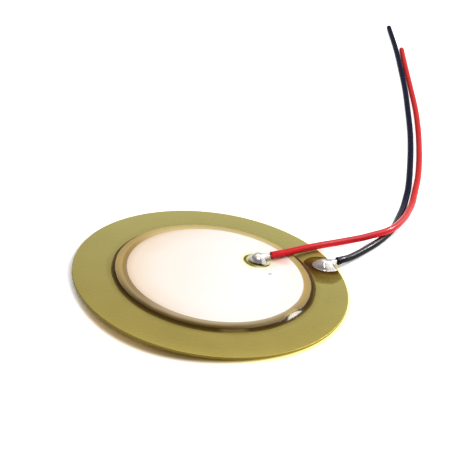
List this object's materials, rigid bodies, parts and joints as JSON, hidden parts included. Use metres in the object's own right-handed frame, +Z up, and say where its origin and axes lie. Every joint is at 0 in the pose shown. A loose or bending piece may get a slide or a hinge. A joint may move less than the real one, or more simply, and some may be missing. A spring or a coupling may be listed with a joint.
{
  "type": "piezo disc with leads",
  "caption": "Thin round brass plate with a silvered piezo ceramic bonded to it, a red lead soldered to the silver and a black lead soldered to the bare brass margin.",
  "frame": {"origin": "centre of the brass plate's underside, which lies on Z = 0", "axes": "+Z up through the plate's thickness, from the brass to the silver; the leads run away towards +Y, and both solder joints lie between +X and +Y"},
  "size_m": [0.0479, 0.125, 0.002],
  "materials": {
    "brass": "satin rolled sheet, slightly dulled",
    "ceramic": "fine sintered, matt",
    "fired_silver": "matt screen-printed and fired",
    "adhesive": "glossy cured bead",
    "solder": "bright, as it froze",
    "pale_flux": "glassy residue",
    "dark_flux": "glassy residue, darkened by heat",
    "red_insulation": "smooth extruded",
    "black_insulation": "smooth extruded",
    "tinned_copper": "tinned strands"
  },
  "bodies": {
    "root": {"brass_plate": "brass", "adhesive_bond": "adhesive", "lower_electrode": "fired_silver", "ceramic_disc": "ceramic", "upper_electrode": "fired_silver", "electrode_solder": "solder", "plate_solder": "solder", "electrode_flux": "pale_flux", "plate_flux": "dark_flux", "red_lead_insulation": "red_insulation", "red_lead_conductor": "tinned_copper", "black_lead_insulation": "black_insulation", "black_lead_conductor": "tinned_copper"}
  },
  "joints": []
}
